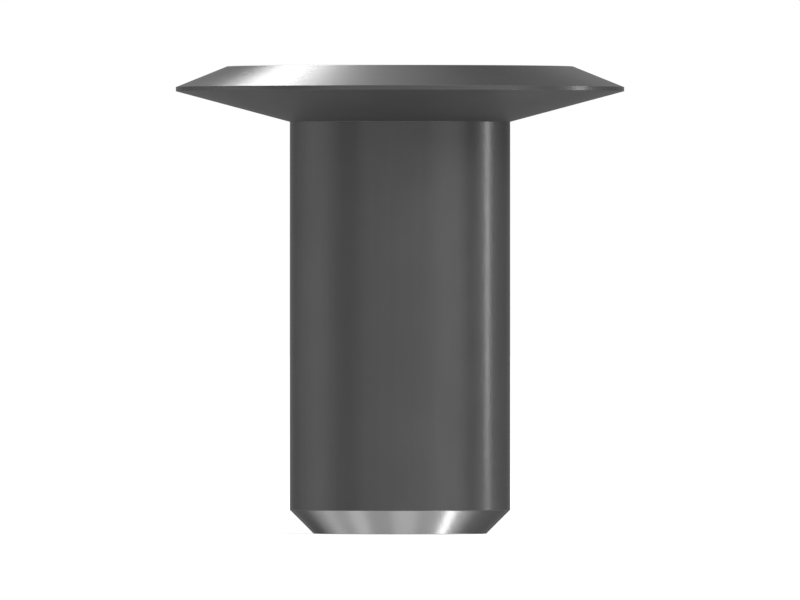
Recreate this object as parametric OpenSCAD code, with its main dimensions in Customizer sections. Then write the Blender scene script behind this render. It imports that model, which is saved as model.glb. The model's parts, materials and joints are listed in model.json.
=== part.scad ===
// Semi-tubular rivet, headed and bored from one piece of steel.
// It has a bevelled countersunk head, a plain round shank and a tubular tail
// whose thin wall is rolled over to clinch the work.
// Millimetres, +Z up, with the origin at the centre of the tail end that it stands on.

/* [Shank] */
// Diameter of the shank
shank_d = 4.00; // [3.40:0.05:6.00]
// Length of the shank, from the tail end to the foot of the head
shank_len = 7.475; // [6.50:0.025:20.00]

/* [Head] */
// Diameter over the rim
head_d = 8.14; // [7.00:0.02:12.00]
// Included angle of the cone under the head
cone_angle = 150; // [120:1:160]
// Height of the straight band round the rim
rim_h = 0.076; // [0.040:0.002:0.400]
// Width of the bevel between the rim and the flat face, seen from above
bevel_w = 0.93; // [0.20:0.01:1.40]
// Slope of the bevel above the horizontal
bevel_angle = 22; // [10:1:45]

/* [Tubular tail] */
// Wall of the tube round the bore
tail_wall = 0.60; // [0.40:0.01:0.90]
// Width of the flat ring between the bore and the chamfer on the tail end
tail_land = 0.17; // [0.05:0.01:0.35]
// Slope of the chamfer above the horizontal
chamfer_angle = 45; // [30:1:60]
// Depth of the straight wall of the bore
bore_depth = 4.00; // [2.00:0.05:5.00]
// Included angle of the cone that closes the bore
bore_tip_angle = 120; // [90:1:150]

/* [Hidden] */
$fn = 180;

// Radii
shank_r = shank_d / 2;
head_r = head_d / 2;
face_r = head_r - bevel_w;
bore_r = shank_r - tail_wall;
tail_r = bore_r + tail_land;

// Heights of the sloping faces
chamfer_h = (shank_r - tail_r) * tan(chamfer_angle);
cone_h = (head_r - shank_r) / tan(cone_angle / 2);
bevel_h = bevel_w * tan(bevel_angle);
bore_tip_h = bore_r / tan(bore_tip_angle / 2);

// Levels above the tail end
rim_z = shank_len + cone_h;
face_z = rim_z + rim_h + bevel_h;

// How far the bore's cutter starts outside the tail end
cutter_lead = 0.5;

// Half sections, as [radius, height] from the axis outwards
tail_outline = [[0, 0], [tail_r, 0], [shank_r, chamfer_h]];
head_outline = [[shank_r, shank_len], [head_r, rim_z], [head_r, rim_z + rim_h], [face_r, face_z], [0, face_z]];
bore_outline = [[0, -cutter_lead], [bore_r, -cutter_lead], [bore_r, bore_depth], [0, bore_depth + bore_tip_h]];

// Head and shank as they leave the heading die, still solid at the tail
module blank() {
    rotate_extrude()
        polygon(concat(tail_outline, head_outline));
}

// Space that the bore takes out of the tail
module tail_bore() {
    rotate_extrude()
        polygon(bore_outline);
}

// The finished rivet
module rivet() {
    color("dimgray")
        difference() {
            blank();
            tail_bore();
        }
}

rivet();
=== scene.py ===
import json
import math

import bmesh
import bpy
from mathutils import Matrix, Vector


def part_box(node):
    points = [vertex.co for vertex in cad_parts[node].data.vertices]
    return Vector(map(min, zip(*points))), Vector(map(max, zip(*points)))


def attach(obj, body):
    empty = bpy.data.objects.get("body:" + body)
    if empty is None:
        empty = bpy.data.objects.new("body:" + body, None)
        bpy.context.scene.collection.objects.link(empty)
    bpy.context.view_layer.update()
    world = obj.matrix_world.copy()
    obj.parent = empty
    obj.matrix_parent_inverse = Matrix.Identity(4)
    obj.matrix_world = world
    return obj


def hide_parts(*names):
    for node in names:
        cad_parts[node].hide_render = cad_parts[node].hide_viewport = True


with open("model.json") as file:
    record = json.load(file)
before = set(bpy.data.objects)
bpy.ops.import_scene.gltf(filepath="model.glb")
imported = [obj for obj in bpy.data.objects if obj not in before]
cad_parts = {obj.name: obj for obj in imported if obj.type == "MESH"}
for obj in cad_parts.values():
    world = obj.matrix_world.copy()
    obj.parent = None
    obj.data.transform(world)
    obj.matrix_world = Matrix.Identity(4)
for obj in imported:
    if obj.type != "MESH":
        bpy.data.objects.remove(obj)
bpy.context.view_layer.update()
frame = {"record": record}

# Rivet: one piece of steel wire, cold headed to a bevelled countersunk head and bored at the tail.
# Drawing and heading leave a dark satin skin, with faint lines along the shank and rings on the head.
# It is loose, and stands on the flat ring at the end of its tail.
MM = 0.001
mounts = {mount["name"]: mount for mount in frame["record"]["mounts"]}
head_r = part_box("rivet")[1].x
face_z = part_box("rivet")[1].z
shank_r = mounts["shank"]["dims"]["r_mm"] * MM
bore_r = mounts["tail_bore"]["dims"]["r_mm"] * MM
bore_depth = mounts["tail_bore"]["dims"]["length_mm"] * MM
chamfer_slope = math.radians(45)
bevel_slope = math.radians(22)
cone_slope = math.radians(15)
bore_tip_slope = math.radians(30)
bevel_w = 0.93 * MM
tail_land = 0.17 * MM
shank_len = 7.475 * MM

tail_r = bore_r + tail_land
chamfer_h = (shank_r - tail_r) * math.tan(chamfer_slope)
rim_z = shank_len + (head_r - shank_r) * math.tan(cone_slope)
face_r = head_r - bevel_w
rim_top = face_z - bevel_w * math.tan(bevel_slope)
bore_tip_z = bore_depth + bore_r * math.tan(bore_tip_slope)

# Finishes of the bands that the section passes through, in the order of the material slots.
FACE, HEAD, UNDER, SHANK, TAIL, BORE, EDGE = range(7)

# Corners of the half section, from the middle of the head's face, over the rim and down to the end of
# the bore. Each has its radius, its height, the size of its edge break and the finish of the next band.
corners = [
    (0, face_z, 0, FACE),
    (face_r, face_z, 0.006 * MM, HEAD),
    (head_r, rim_top, 0.001 * MM, SHANK),
    (head_r, rim_z, 0.001 * MM, UNDER),
    (shank_r, shank_len, 0.004 * MM, SHANK),
    (shank_r, chamfer_h, 0.006 * MM, TAIL),
    (tail_r, 0, 0.012 * MM, TAIL),
    (bore_r, 0, 0.016 * MM, BORE),
    (bore_r, bore_depth, 0.10 * MM, BORE),
    (0, bore_tip_z, 0, BORE),
]
inner_corners = ((shank_r, shank_len), (bore_r, bore_depth))
BREAK_STEPS = 4
SIDES = 384


def broken_corner(before, corner, after, size):
    """Points of the small round that takes the sharpness off a corner of the section."""
    corner = Vector(corner[:2])
    start = corner + (Vector(before[:2]) - corner).normalized() * size
    end = corner + (Vector(after[:2]) - corner).normalized() * size
    points = []
    for step in range(BREAK_STEPS + 1):
        t = step / BREAK_STEPS
        points.append(start * (1 - t) ** 2 + corner * 2 * t * (1 - t) + end * t ** 2)
    return points


# Rounds on outer corners have the finish of a worn edge, and those in inner corners that of the next band.
bands = []
open_end = Vector(corners[0][:2])
for before, corner, after in zip(corners, corners[1:], corners[2:]):
    round_off = broken_corner(before, corner, after, corner[2])
    bands.append((before[3], [open_end, round_off[0]]))
    bands.append((corner[3] if corner[:2] in inner_corners else EDGE, round_off))
    open_end = round_off[-1]
bands.append((corners[-2][3], [open_end, Vector(corners[-1][:2])]))

turned = bmesh.new()


def ring(radius, height):
    """Vertices of one circle round the axis, or the one vertex on it."""
    if radius == 0:
        return [turned.verts.new((0, 0, height))] * SIDES
    turns = [2 * math.pi * k / SIDES for k in range(SIDES)]
    return [turned.verts.new((radius * math.cos(a), radius * math.sin(a), height)) for a in turns]


# The edge where a band starts is marked sharp, so that its shading doesn't run into the band before it.
last = ring(*bands[0][1][0])
for finish, points in bands:
    for number, point in enumerate(points[1:]):
        this = ring(*point)
        for k in range(SIDES):
            n = (k + 1) % SIDES
            loop = list(dict.fromkeys((last[k], last[n], this[n], this[k])))
            face = turned.faces.new(loop)
            face.material_index = finish
            face.smooth = True
        if number == 0 and last[0] is not last[1]:
            for k in range(SIDES):
                turned.edges.get((last[k], last[(k + 1) % SIDES])).smooth = False
        last = this
bmesh.ops.recalc_face_normals(turned, faces=turned.faces)
rivet_mesh = bpy.data.meshes.new("headed_rivet")
turned.to_mesh(rivet_mesh)
turned.free()
rivet = bpy.data.objects.new("headed_rivet", rivet_mesh)
bpy.context.scene.collection.objects.link(rivet)


def add(tree, kind, inputs=(), **settings):
    """A node of this kind, with its settings and with values or links on its inputs."""
    made = tree.nodes.new(kind)
    for name, value in settings.items():
        setattr(made, name, value)
    for name, value in dict(inputs).items():
        if isinstance(value, bpy.types.NodeSocket):
            tree.links.new(value, made.inputs[name])
        else:
            made.inputs[name].default_value = value
    return made


def new_group(name, inputs, outputs):
    """A shader node group with number sockets of these names."""
    tree = bpy.data.node_groups.new(name, "ShaderNodeTree")
    for socket, value in inputs.items():
        made = tree.interface.new_socket(socket, in_out="INPUT", socket_type="NodeSocketFloat")
        made.default_value = value
    for socket in outputs:
        tree.interface.new_socket(socket, in_out="OUTPUT", socket_type="NodeSocketFloat")
    return tree, tree.nodes.new("NodeGroupInput"), tree.nodes.new("NodeGroupOutput")


def in_millimetres(tree):
    """The place on the rivet, in millimetres from the middle of its tail end."""
    place = add(tree, "ShaderNodeTexCoord").outputs["Object"]
    return add(tree, "ShaderNodeVectorMath", {0: place, "Scale": 1 / MM}, operation="SCALE").outputs[0]


# Mottled skin: soft darker patches left by oil in the heading die,
# and the fine orange peel of a tumbled blank. Sizes are in millimetres.
PATCH_SIZE = 1.2
skin, skin_in, skin_out = new_group(
    "mottled_skin", {"Patch Size": PATCH_SIZE, "Grain Size": 0.1}, ["Patches", "Grain"])
for size, result, detail in (("Patch Size", "Patches", 3), ("Grain Size", "Grain", 2)):
    scale = add(skin, "ShaderNodeMath", {0: 1.0, 1: skin_in.outputs[size]}, operation="DIVIDE")
    noise = add(skin, "ShaderNodeTexNoise",
                {"Vector": in_millimetres(skin), "Scale": scale.outputs[0],
                 "Detail": detail, "Roughness": 0.55})
    skin.links.new(noise.outputs["Fac"], skin_out.inputs[result])

# Turned rings: uneven rings round the axis, as the heading die and the cutter leave them.
# They run on from the flats to the slopes, since they count the way out from the axis and up together.
turned_rings, rings_in, rings_out = new_group("turned_rings", {"Pitch": 0.05}, ["Marks"])
place = in_millimetres(turned_rings)
height_up = add(turned_rings, "ShaderNodeSeparateXYZ", {0: place}).outputs["Z"]
flat = add(turned_rings, "ShaderNodeVectorMath", {0: place, 1: (1, 1, 0)}, operation="MULTIPLY").outputs[0]
out_from_axis = add(turned_rings, "ShaderNodeVectorMath", {0: flat}, operation="LENGTH").outputs["Value"]
along = add(turned_rings, "ShaderNodeMath", {0: out_from_axis, 1: height_up}, operation="ADD").outputs[0]
pitches = add(turned_rings, "ShaderNodeMath", {0: along, 1: rings_in.outputs["Pitch"]},
              operation="DIVIDE").outputs[0]
rings = add(turned_rings, "ShaderNodeTexNoise",
            {"W": pitches, "Scale": 1.0, "Detail": 2.0, "Roughness": 0.6},
            noise_dimensions="1D").outputs["Fac"]
turned_rings.links.new(rings, rings_out.inputs["Marks"])

# Drawn lines: long fine lines down the shank, as the drawing die leaves them on the wire.
# They are a fine noise, drawn out along the axis by squeezing its coordinates there.
AXIS_SQUEEZE = 0.03
drawn_lines, lines_in, lines_out = new_group("drawn_lines", {"Pitch": 0.1}, ["Marks"])
stretched = add(drawn_lines, "ShaderNodeVectorMath",
                {0: in_millimetres(drawn_lines), 1: (1, 1, AXIS_SQUEEZE)}, operation="MULTIPLY").outputs[0]
per_pitch = add(drawn_lines, "ShaderNodeMath", {0: 1.0, 1: lines_in.outputs["Pitch"]},
                operation="DIVIDE").outputs[0]
lines = add(drawn_lines, "ShaderNodeTexNoise",
            {"Vector": stretched, "Scale": per_pitch, "Detail": 2.0, "Roughness": 0.6}).outputs["Fac"]
drawn_lines.links.new(lines, lines_out.inputs["Marks"])

# Usual range of the noises, and how far patches, marks and grain change the steel.
NOISE_LOW = 0.3
NOISE_HIGH = 0.7
MARKS_IN_TONE = 0.35
GRAIN_IN_RELIEF = 0.75
ROUGHNESS_SPREAD = 0.012
RELIEF_DEPTH = 0.01 * MM


def steel(name, colour, metal, grazing, roughness, marks, pitch, grain, relief, spread):
    """Satin steel of one band: its grey, its gloss, its rings or lines and its orange peel."""
    material = bpy.data.materials.new(name)
    material.use_nodes = True
    tree = material.node_tree
    shader = tree.nodes["Principled BSDF"]
    mottle = add(tree, "ShaderNodeGroup", node_tree=skin)
    mottle.inputs["Patch Size"].default_value = PATCH_SIZE
    mottle.inputs["Grain Size"].default_value = grain
    tool = add(tree, "ShaderNodeGroup", node_tree=marks)
    tool.inputs["Pitch"].default_value = pitch
    shade = add(tree, "ShaderNodeMix", {"Factor": MARKS_IN_TONE, "A": mottle.outputs["Patches"],
                                        "B": tool.outputs["Marks"]}).outputs["Result"]
    tone = add(tree, "ShaderNodeMapRange",
               {"Value": shade, "From Min": NOISE_LOW, "From Max": NOISE_HIGH,
                "To Min": 1 - spread, "To Max": 1 + spread}, clamp=False).outputs["Result"]
    grey = add(tree, "ShaderNodeVectorMath", {0: (colour,) * 3, "Scale": tone}, operation="SCALE").outputs[0]
    tree.links.new(grey, shader.inputs["Base Color"])
    rough = add(tree, "ShaderNodeMapRange",
                {"Value": mottle.outputs["Patches"], "From Min": NOISE_LOW, "From Max": NOISE_HIGH,
                 "To Min": roughness - ROUGHNESS_SPREAD, "To Max": roughness + ROUGHNESS_SPREAD},
                clamp=False).outputs["Result"]
    tree.links.new(rough, shader.inputs["Roughness"])
    height = add(tree, "ShaderNodeMix", {"Factor": GRAIN_IN_RELIEF, "A": tool.outputs["Marks"],
                                         "B": mottle.outputs["Grain"]}).outputs["Result"]
    bump = add(tree, "ShaderNodeBump", {"Height": height, "Strength": relief, "Distance": RELIEF_DEPTH})
    tree.links.new(bump.outputs["Normal"], shader.inputs["Normal"])
    shader.inputs["Metallic"].default_value = metal
    shader.inputs["Specular IOR Level"].default_value = 0.0
    shader.inputs["Specular Tint"].default_value = (grazing, grazing, grazing, 1)
    return material


# Each band's steel has its grey, its share of bare metal, its gloss at a grazing look, its roughness, its
# tool marks and their pitch, the size of its grain, the strength of its relief and the spread of its tone.
for band_steel in (
    steel("steel_face", 0.088, 0.55, 0.5, 0.24, turned_rings, 0.11, 0.10, 0.3, 0.25),
    steel("steel_head", 0.086, 0.55, 0.5, 0.25, turned_rings, 0.05, 0.10, 0.14, 0.06),
    # The steel under the head has a darker grey than the other bands: painted shade under the head.
    steel("steel_under_head_painted_shade", 0.077, 0.50, 0.3, 0.31, turned_rings, 0.05, 0.10, 0.15, 0.06),
    steel("steel_shank", 0.090, 0.70, 0.4, 0.25, drawn_lines, 0.09, 0.14, 0.22, 0.06),
    steel("steel_tail", 0.095, 0.60, 0.4, 0.19, turned_rings, 0.04, 0.08, 0.1, 0.06),
    steel("steel_bore", 0.080, 0.55, 0.5, 0.32, turned_rings, 0.05, 0.10, 0.3, 0.15),
    steel("steel_edge", 0.100, 0.55, 0.5, 0.24, turned_rings, 0.03, 0.10, 0.2, 0.06),
):
    rivet_mesh.materials.append(band_steel)
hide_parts("rivet")
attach(rivet, "root")

# Floor: a plain white table top, just under the tail's ring and wide enough to have no edge in any view.
# It takes the rivet's soft shadow, and glows enough to be white where nothing shades it.
# The metal looks through it to the light table, and it is clear from below, where the bored tail shows.
FLOOR_HALF = 1.5
FLOOR_Z = -0.005 * MM
FLOOR_GREY = 0.4
FLOOR_GLOW = 0.74
floor_mesh = bpy.data.meshes.new("floor")
floor_mesh.from_pydata([(-FLOOR_HALF, -FLOOR_HALF, FLOOR_Z), (FLOOR_HALF, -FLOOR_HALF, FLOOR_Z),
                        (FLOOR_HALF, FLOOR_HALF, FLOOR_Z), (-FLOOR_HALF, FLOOR_HALF, FLOOR_Z)],
                       [], [(0, 1, 2, 3)])
floor = bpy.data.objects.new("floor", floor_mesh)
bpy.context.scene.collection.objects.link(floor)
table_top = bpy.data.materials.new("white_table_top")
table_top.use_nodes = True
top_tree = table_top.node_tree
top_tree.nodes.clear()
shaded = add(top_tree, "ShaderNodeBsdfDiffuse",
             {"Color": (FLOOR_GREY, FLOOR_GREY, FLOOR_GREY, 1)}).outputs[0]
glow = add(top_tree, "ShaderNodeEmission", {"Color": (1, 1, 1, 1), "Strength": FLOOR_GLOW}).outputs[0]
both = add(top_tree, "ShaderNodeAddShader", {0: shaded, 1: glow}).outputs[0]
clear = add(top_tree, "ShaderNodeBsdfTransparent").outputs[0]
underside = add(top_tree, "ShaderNodeNewGeometry").outputs["Backfacing"]
one_sided = add(top_tree, "ShaderNodeMixShader", {0: underside, 1: both, 2: clear}).outputs[0]
add(top_tree, "ShaderNodeOutputMaterial", {"Surface": one_sided})
floor_mesh.materials.append(table_top)
floor.visible_glossy = False
floor.visible_shadow = False

# Studio tent: white cloth all round the table, plain white to the camera and even on matt surfaces.
# In the metal it shows its unevenness: seams on the left, on the right and behind, a brighter wall on
# each side, an opening low behind and the glow of the lamps behind.
tent = bpy.data.worlds.new("studio_tent")
bpy.context.scene.world = tent
tent.use_nodes = True
tent.cycles.sampling_method = "NONE"
tent_tree = tent.node_tree
tent_tree.nodes.clear()
CLOTH = 0.71
CLOTH_ON_MATT = 0.86
# Each panel has its turn from the front to the right, its rise, its half width, its half height and its
# soft edge, all in degrees, and the light that it adds to the cloth or takes from it.
panels = [
    ("left_seam", -56, 0, 13, 45, 7, -0.26),
    ("left_wall", -121, 0, 38, 60, 10, 0.35),
    ("right_wall", 52, 0, 16, 45, 8, 0.29),
    ("right_seam", 81, 0, 6, 45, 6, -0.42),
    ("back_glow", -172, 41, 8, 9, 5, 3.0),
    ("back_opening", 178, -3, 12, 11, 8, -0.35),
    ("right_glow", 172, 21, 5, 6, 5, 0.36),
    ("back_seam", 172, 42, 8, 8, 5, -0.6),
]
panel, panel_in, panel_out = new_group(
    "tent_panel",
    {"Turn": 0.0, "Rise": 0.0, "Half Width": 0.3, "Half Height": 0.3, "Soft Edge": 0.1}, ["Cover"])
toward = add(panel, "ShaderNodeTexCoord").outputs["Generated"]
back_turn = add(panel, "ShaderNodeMath", {0: panel_in.outputs["Turn"], 1: -1.0},
                operation="MULTIPLY").outputs[0]
faced = add(panel, "ShaderNodeVectorRotate", {"Vector": toward, "Angle": back_turn},
            rotation_type="Z_AXIS").outputs[0]
levelled = add(panel, "ShaderNodeVectorRotate", {"Vector": faced, "Angle": panel_in.outputs["Rise"]},
               rotation_type="X_AXIS").outputs[0]
sides = add(panel, "ShaderNodeSeparateXYZ", {0: levelled}).outputs
ahead = add(panel, "ShaderNodeMath", {0: sides["Y"], 1: -1.0}, operation="MULTIPLY").outputs[0]
sideways = add(panel, "ShaderNodeMath", {0: sides["X"], 1: ahead}, operation="ARCTAN2").outputs[0]
upward = add(panel, "ShaderNodeMath", {0: sides["Z"]}, operation="ARCSINE").outputs[0]
soft = panel_in.outputs["Soft Edge"]
covers = []
for angle, half in ((sideways, "Half Width"), (upward, "Half Height")):
    off_centre = add(panel, "ShaderNodeMath", {0: angle}, operation="ABSOLUTE").outputs[0]
    outer = add(panel, "ShaderNodeMath", {0: panel_in.outputs[half], 1: soft}, operation="ADD").outputs[0]
    inner = add(panel, "ShaderNodeMath", {0: panel_in.outputs[half], 1: soft},
                operation="SUBTRACT").outputs[0]
    covers.append(add(panel, "ShaderNodeMapRange",
                      {"Value": off_centre, "From Min": outer, "From Max": inner,
                       "To Min": 0.0, "To Max": 1.0}, interpolation_type="SMOOTHSTEP").outputs["Result"])
cover = add(panel, "ShaderNodeMath", {0: covers[0], 1: covers[1]}, operation="MULTIPLY").outputs[0]
panel.links.new(cover, panel_out.inputs["Cover"])
level = CLOTH
for name, *angles, light in panels:
    placed = add(tent_tree, "ShaderNodeGroup", node_tree=panel, label=name)
    for socket, angle in zip(("Turn", "Rise", "Half Width", "Half Height", "Soft Edge"), angles):
        placed.inputs[socket].default_value = math.radians(angle)
    level = add(tent_tree, "ShaderNodeMath", {0: placed.outputs["Cover"], 1: light, 2: level},
                operation="MULTIPLY_ADD").outputs[0]
rays = add(tent_tree, "ShaderNodeLightPath").outputs
mirrored = add(tent_tree, "ShaderNodeMath", {0: rays["Is Glossy Ray"], 1: rays["Is Transmission Ray"]},
               operation="MAXIMUM").outputs[0]
plain = add(tent_tree, "ShaderNodeBackground", {"Color": (1, 1, 1, 1), "Strength": 1.0}).outputs[0]
even = add(tent_tree, "ShaderNodeBackground", {"Color": (1, 1, 1, 1), "Strength": CLOTH_ON_MATT}).outputs[0]
uneven = add(tent_tree, "ShaderNodeBackground", {"Color": (1, 1, 1, 1), "Strength": level}).outputs[0]
cloth = add(tent_tree, "ShaderNodeMixShader", {0: mirrored, 1: even, 2: uneven}).outputs[0]
seen = add(tent_tree, "ShaderNodeMixShader", {0: rays["Is Camera Ray"], 1: cloth, 2: plain}).outputs[0]
add(tent_tree, "ShaderNodeOutputWorld", {"Surface": seen})

# Lamps: soft boxes behind and in front of the rivet, and a strip that stands near it on the right.
# Each has its distance in metres, its turn from the front to the right, its rise, its half width and its
# half height in degrees, whether it lights matt surfaces too, and its light.
lamps = [
    ("back_box", 0.4, -170.5, 34.5, 4, 3.5, False, 53.0),
    ("right_strip", 0.08, 103.6, 18, 1.5, 21, False, 16.8),
    ("front_box", 0.4, 42, 36, 24, 13, True, 7.3),
]
middle = Vector((0, 0, face_z / 2))


def lamp(name, place, turn, rise, width, height, matt, light):
    """A rectangular soft box that no camera sees, with the brightness of its cloth."""
    box = bpy.data.lights.new(name, "AREA")
    box.shape = "RECTANGLE"
    box.size = width
    box.size_y = height
    box.energy = light * math.pi * width * height
    made = bpy.data.objects.new(name, box)
    made.location = place
    made.rotation_euler = (math.pi / 2 - rise, 0, turn)
    made.visible_camera = False
    made.visible_diffuse = matt
    bpy.context.scene.collection.objects.link(made)


for name, distance, turn, rise, half_width, half_height, matt, light in lamps:
    turn, rise = math.radians(turn), math.radians(rise)
    out = Vector((math.sin(turn) * math.cos(rise), -math.cos(turn) * math.cos(rise), math.sin(rise)))
    lamp(name, middle + out * distance, turn, rise, 2 * distance * math.tan(math.radians(half_width)),
         2 * distance * math.tan(math.radians(half_height)), matt, light)

# Light table: a lit tray and its tubes, well below the table top, into which the tail's chamfer looks down.
# They run from front to back, with their middle a little behind the rivet.
# Each has its height, its place to the right and its width as shares of the tubes' depth, and its light.
TUBE_DEPTH = 0.06
TUBE_BACK = 0.65
TUBE_LENGTH = 1.9
tubes = [
    ("tray", -1.05, -0.085, 1.59, 3.3),
    ("left_tube", -1, -0.69, 0.10, 2.6),
    ("middle_tube", -1, -0.41, 0.16, 2.9),
    ("right_tube", -1, 0.05, 0.24, 2.0),
    ("bright_tube", -1, 0.485, 0.08, 24.5),
]
for name, height, aside, width, light in tubes:
    lamp(name, Vector((aside, TUBE_BACK, height)) * TUBE_DEPTH, 0, -math.pi / 2,
         width * TUBE_DEPTH, TUBE_LENGTH * TUBE_DEPTH, False, light)

# Camera: far off, with a long lens, and level with the middle of the rivet.
# That is as in the photograph, which shows almost no perspective.
CAMERA_AWAY = 0.472
camera_data = bpy.data.cameras.new("camera")
camera = bpy.data.objects.new("camera", camera_data)
bpy.context.scene.collection.objects.link(camera)
camera_data.sensor_width = 36
camera_data.lens = 1170
camera.location = (0, -CAMERA_AWAY, face_z / 2)
camera.rotation_euler = (math.pi / 2, 0, 0)
camera_data.clip_start = 0.01
camera_data.clip_end = 20
bpy.context.scene.camera = camera
bpy.context.scene.view_settings.view_transform = "Standard"
